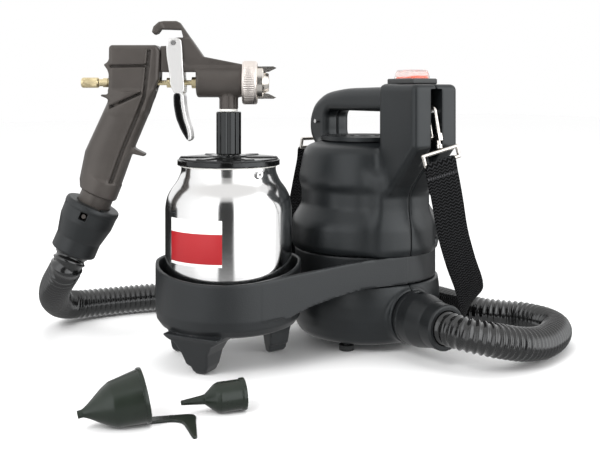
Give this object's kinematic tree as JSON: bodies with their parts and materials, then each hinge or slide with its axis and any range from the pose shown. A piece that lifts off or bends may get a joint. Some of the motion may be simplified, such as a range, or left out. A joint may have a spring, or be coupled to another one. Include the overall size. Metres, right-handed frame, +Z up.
{
  "type": "turbine paint sprayer",
  "caption": "Paint sprayer: a black blower unit with handle and shoulder strap, a ribbed air hose, a cup holder and a gun with a suction cup.",
  "frame": {"origin": "middle of the footprint on the floor, with the hose and its connectors left out", "axes": "+X from the cup towards the blower, +Z up, the blower's hose outlet faces -Y"},
  "size_m": [0.452, 0.3734, 0.2877],
  "materials": {
    "housing_plastic": "satin",
    "holder_plastic": "satin",
    "gun_plastic": "satin",
    "gun_alloy": "satin",
    "hose_plastic": "gloss",
    "webbing": "matte",
    "buckle_plastic": "satin",
    "switch_black": "satin",
    "rocker_orange": "gloss",
    "clear_boot": "gloss",
    "foot_rubber": "matte",
    "gland_rubber": "matte",
    "polished_cup": "polished",
    "nickel": "polished",
    "steel": "brushed",
    "brass": "satin",
    "motor_iron": "matte",
    "fan_alloy": "satin",
    "filter_felt": "matte",
    "carbon": "matte",
    "seal_white": "satin",
    "label_red": "satin",
    "accessory_plastic": "satin"
  },
  "bodies": {
    "blower": {"housing_left": "housing_plastic", "housing_right": "housing_plastic", "intake_cover": "housing_plastic", "air_filter": "filter_felt", "motor_frame": "fan_alloy", "bearing_bridge": "fan_alloy", "motor_stator": "motor_iron", "bearing_top": "steel", "bearing_bottom": "steel", "carbon_brushes": "carbon", "fan_plate": "fan_alloy", "outlet_port": "housing_plastic", "cable_gland": "gland_rubber", "rubber_feet": "foot_rubber", "housing_screws": "steel", "hook_pins": "steel", "switch_bezel": "switch_black", "switch_body": "switch_black", "switch_boot": "clear_boot", "cup_holder": "holder_plastic", "strap": "webbing", "strap_adjuster": "buckle_plastic", "strap_loop_front": "nickel", "strap_loop_rear": "nickel", "snap_hook_front": "nickel", "snap_hook_rear": "nickel", "hose": "hose_plastic"},
    "rotor": {"motor_rotor": "motor_iron", "impeller": "fan_alloy"},
    "rocker": {"switch_rocker": "rocker_orange"},
    "gun": {"gun_body": "gun_alloy", "gun_handle": "gun_plastic", "gun_spigot": "gun_plastic", "trigger_pin": "steel", "needle_guide": "brass", "packing_nut": "brass", "fluid_nozzle": "brass", "stem_seal": "seal_white", "cup_lid": "gun_alloy", "lid_seal": "seal_white", "pickup_tube": "steel"},
    "trigger": {"trigger": "steel"},
    "needle": {"needle": "brass", "needle_spring": "steel"},
    "flow_knob": {"flow_knob": "brass"},
    "air_cap": {"air_cap": "nickel"},
    "cap_ring": {"cap_ring": "nickel"},
    "stem_nut": {"stem_nut": "gun_plastic"},
    "paint_cup": {"cup": "polished_cup", "cup_vent": "steel", "cup_label": "label_red"},
    "blower_connector": {"hose_connector_blower": "gun_plastic"},
    "gun_connector": {"hose_connector_gun": "gun_plastic"},
    "gate_front": {"hook_gate_front": "nickel"},
    "gate_rear": {"hook_gate_rear": "nickel"},
    "viscosity_cup": {"viscosity_cup": "accessory_plastic"},
    "blow_nozzle": {"blow_nozzle": "accessory_plastic"}
  },
  "joints": [
    {"name": "rotor_spin", "type": "hinge", "parent": "blower", "child": "rotor", "pos_m": [0.103, 0.013, 0.06], "axis": [0, 0, 1], "continuous": true},
    {"name": "rocker_tip", "type": "hinge", "parent": "blower", "child": "rocker", "pos_m": [0.103, -0.057, 0.236], "axis": [1, 0, 0], "range_deg": [-6, 3]},
    {"name": "gun_lift", "type": "slide", "parent": "blower", "child": "gun", "axis": [0, 0, 1], "range_m": [0, 0.12]},
    {"name": "cup_twist", "type": "hinge", "parent": "gun", "child": "paint_cup", "pos_m": [-0.039, 0.013, 0.165], "axis": [0, 0, 1], "range_deg": [0, 60]},
    {"name": "trigger_pull", "type": "hinge", "parent": "gun", "child": "trigger", "pos_m": [-0.07805, 0.03693, 0.2689], "axis": [0.5225, 0.8526, 0], "range_deg": [0, 13], "stiffness_Nm_per_rad": 0.6, "springref_deg": -11.46},
    {"name": "needle_slide", "type": "slide", "parent": "gun", "child": "needle", "axis": [0.8526, -0.5225, 0], "range_m": [-0.0084, 0]},
    {"name": "flow_knob_turn", "type": "hinge", "parent": "gun", "child": "flow_knob", "pos_m": [-0.13961, 0.07465, 0.2354], "axis": [0.8526, -0.5225, 0], "continuous": true},
    {"name": "air_cap_turn", "type": "hinge", "parent": "gun", "child": "air_cap", "pos_m": [-0.02024, 0.00151, 0.2354], "axis": [0.8526, -0.5225, 0], "range_deg": [0, 90]},
    {"name": "cap_ring_turn", "type": "hinge", "parent": "gun", "child": "cap_ring", "pos_m": [-0.02365, 0.0036, 0.2354], "axis": [0.8526, -0.5225, 0], "continuous": true},
    {"name": "stem_nut_turn", "type": "hinge", "parent": "gun", "child": "stem_nut", "pos_m": [-0.039, 0.013, 0.19], "axis": [0, 0, 1], "continuous": true},
    {"name": "blower_connector_twist", "type": "hinge", "parent": "blower", "child": "blower_connector", "pos_m": [0.103, -0.077, 0.033], "axis": [0, 1, 0], "range_deg": [0, 30]},
    {"name": "gun_connector_twist", "type": "hinge", "parent": "gun", "child": "gun_connector", "pos_m": [-0.14231, 0.07631, 0.11807], "axis": [-0.34, 0.2083, -0.9171], "range_deg": [0, 30]},
    {"name": "gate_front_open", "type": "hinge", "parent": "blower", "child": "gate_front", "pos_m": [0.103, -0.08374, 0.18903], "axis": [1, 0, 0], "range_deg": [0, 16], "stiffness_Nm_per_rad": 0.004, "springref_deg": -17.19},
    {"name": "gate_rear_open", "type": "hinge", "parent": "blower", "child": "gate_rear", "pos_m": [0.103, 0.09802, 0.19494], "axis": [1, 0, 0], "range_deg": [0, 16], "stiffness_Nm_per_rad": 0.004, "springref_deg": -17.19},
    {"name": "viscosity_cup_lift", "type": "slide", "parent": "blower", "child": "viscosity_cup", "axis": [0, 0, 1], "range_m": [0, 0.08]},
    {"name": "blow_nozzle_lift", "type": "slide", "parent": "blower", "child": "blow_nozzle", "axis": [0, 0, 1], "range_m": [0, 0.08]}
  ],
  "couplings": [
    {"joint": "needle_slide", "follows": "trigger_pull", "m_per_rad": -0.0335}
  ]
}
